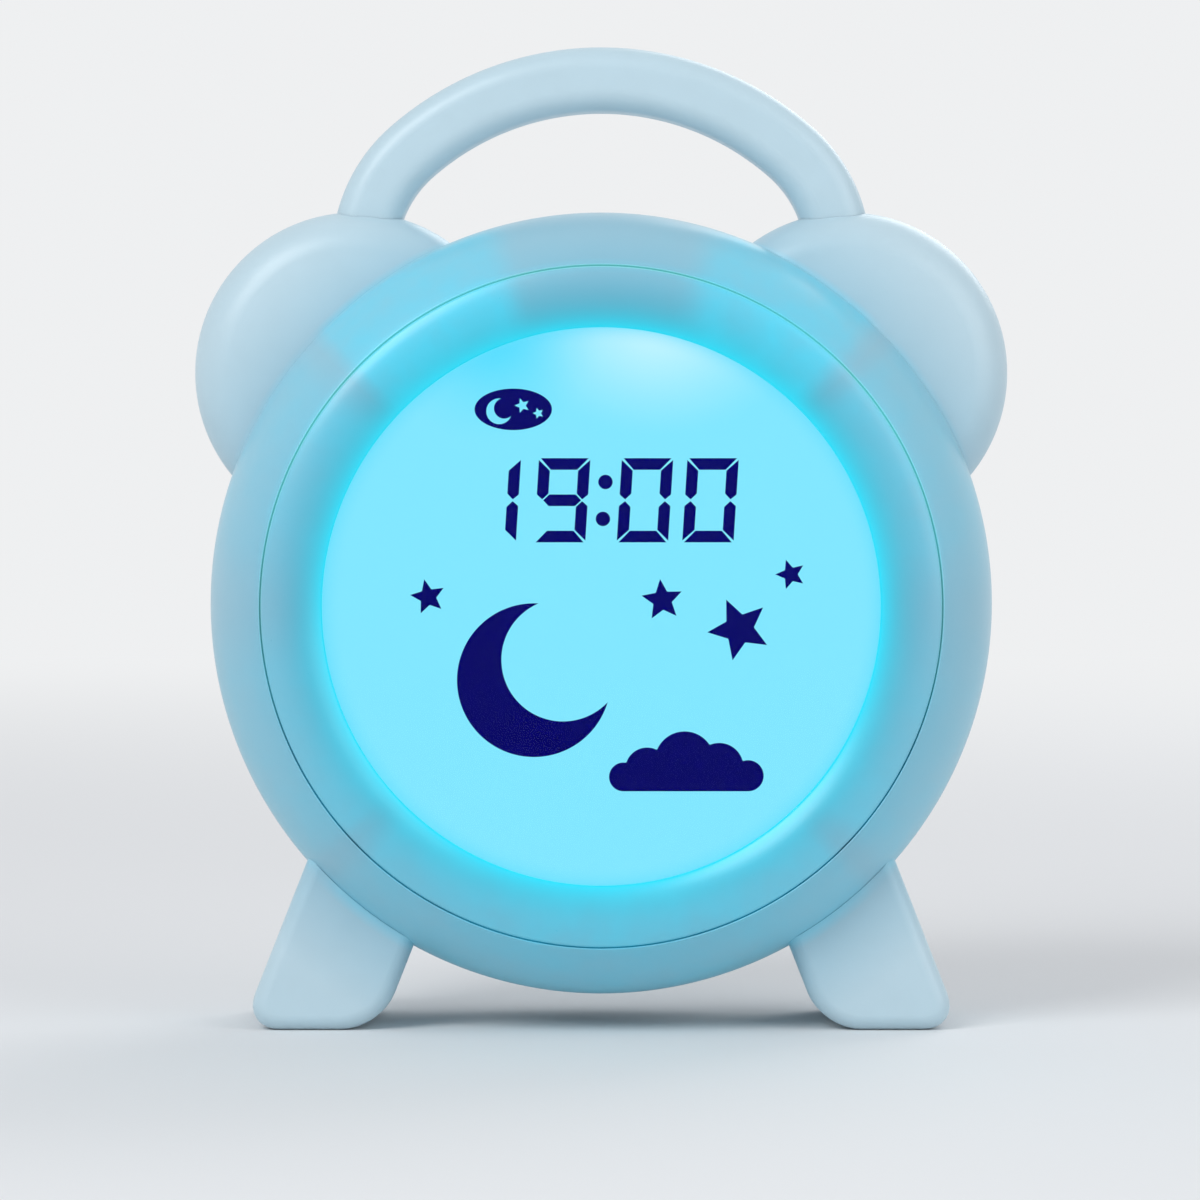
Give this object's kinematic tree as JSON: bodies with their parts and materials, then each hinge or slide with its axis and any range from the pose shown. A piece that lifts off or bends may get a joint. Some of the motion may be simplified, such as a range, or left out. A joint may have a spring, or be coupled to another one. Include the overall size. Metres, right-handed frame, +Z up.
{
  "type": "kids alarm clock with night light",
  "caption": "Round bedside alarm clock with a glowing liquid-crystal dial, two round ears, a carrying handle, splayed feet, rear keys and a battery compartment.",
  "frame": {"origin": "on the table under the middle of the clock, at the bottom of its bounding box", "axes": "+Z up, +X to the right of someone facing the display, the display faces -Y"},
  "size_m": [0.1288, 0.05, 0.155],
  "materials": {
    "housing": "semi-gloss white moulding, slightly translucent",
    "bezel": "semi-gloss white ring",
    "window": "clear acrylic",
    "polariser": "grey film",
    "lcd_glass": "polished",
    "light_guide": "clear acrylic, lit",
    "reflector": "white film",
    "carrier": "white moulding",
    "circuit_board": "solder mask",
    "lamp": "white lamp package",
    "zebra": "striped rubber",
    "chip": "black epoxy",
    "screws": "zinc plated",
    "keys": "soft white",
    "switch_body": "black moulding",
    "socket": "bright shell",
    "speaker_metal": "pressed steel",
    "speaker_paper": "pressed paper",
    "magnet": "ferrite",
    "cell": "plain jacket",
    "contacts": "nickel plated",
    "lead_grey": "flat insulation",
    "lead_black": "flat insulation",
    "lead_red": "flat insulation"
  },
  "bodies": {
    "housing": {"front_shell": "housing", "rear_shell": "housing", "handle_front": "housing", "handle_rear": "housing", "bezel_ring": "bezel", "display_window": "window", "front_polariser": "polariser", "rear_polariser": "polariser", "lcd_front_glass": "lcd_glass", "lcd_rear_glass": "lcd_glass", "light_guide": "light_guide", "reflector_sheet": "reflector", "display_carrier": "carrier", "led_board": "circuit_board", "main_board": "circuit_board", "key_board": "circuit_board", "led_left": "lamp", "led_middle": "lamp", "led_right": "lamp", "zebra_connector": "zebra", "controller_chip": "chip", "module_screws": "screws", "housing_screws": "screws", "key_board_screws": "screws", "slide_switch": "switch_body", "power_socket": "socket", "speaker_basket": "speaker_metal", "speaker_cone": "speaker_paper", "speaker_magnet": "magnet", "battery_cell_top": "cell", "battery_cell_middle": "cell", "battery_cell_bottom": "cell", "battery_contact_positive": "contacts", "battery_contact_right": "contacts", "battery_contact_left": "contacts", "battery_contact_negative": "contacts", "board_ribbon": "lead_grey", "speaker_lead": "lead_black", "light_lead": "lead_grey", "battery_lead_positive": "lead_red", "battery_lead_negative": "lead_black", "key_switch_hour": "switch_body", "key_switch_minute": "switch_body", "key_switch_alarm": "switch_body", "key_switch_mode": "switch_body", "key_switch_light": "switch_body", "key_switch_volume": "switch_body"},
    "key_hour": {"key_hour": "keys"},
    "key_minute": {"key_minute": "keys"},
    "key_alarm": {"key_alarm": "keys"},
    "key_mode": {"key_mode": "keys"},
    "key_light": {"key_light": "keys"},
    "key_volume": {"key_volume": "keys"},
    "slide_switch_knob": {"slide_switch_knob": "keys"},
    "battery_door": {"battery_door": "housing"},
    "battery_door_screw": {"battery_door_screw": "screws"}
  },
  "joints": [
    {"name": "key_hour_press", "type": "slide", "parent": "housing", "child": "key_hour", "axis": [0, -1, 0], "range_m": [0, 0.0008], "stiffness_N_per_m": 400, "springref_m": -0.0003},
    {"name": "key_minute_press", "type": "slide", "parent": "housing", "child": "key_minute", "axis": [0, -1, 0], "range_m": [0, 0.0008], "stiffness_N_per_m": 400, "springref_m": -0.0003},
    {"name": "key_alarm_press", "type": "slide", "parent": "housing", "child": "key_alarm", "axis": [0, -1, 0], "range_m": [0, 0.0008], "stiffness_N_per_m": 400, "springref_m": -0.0003},
    {"name": "key_mode_press", "type": "slide", "parent": "housing", "child": "key_mode", "axis": [0, -1, 0], "range_m": [0, 0.0008], "stiffness_N_per_m": 400, "springref_m": -0.0003},
    {"name": "key_light_press", "type": "slide", "parent": "housing", "child": "key_light", "axis": [0, -1, 0], "range_m": [0, 0.0008], "stiffness_N_per_m": 400, "springref_m": -0.0003},
    {"name": "key_volume_press", "type": "slide", "parent": "housing", "child": "key_volume", "axis": [0, -1, 0], "range_m": [0, 0.0008], "stiffness_N_per_m": 400, "springref_m": -0.0003},
    {"name": "slide_switch_travel", "type": "slide", "parent": "housing", "child": "slide_switch_knob", "axis": [0, 0, 1], "range_m": [-0.0015, 0.0015]},
    {"name": "battery_door_swing", "type": "hinge", "parent": "housing", "child": "battery_door", "pos_m": [0, 0.0224, 0.0634], "axis": [1, 0, 0], "range_deg": [0, 80]},
    {"name": "battery_door_screw_turn", "type": "hinge", "parent": "battery_door", "child": "battery_door_screw", "pos_m": [0, 0.0228, 0.02545], "axis": [0, 1, 0], "continuous": true}
  ]
}
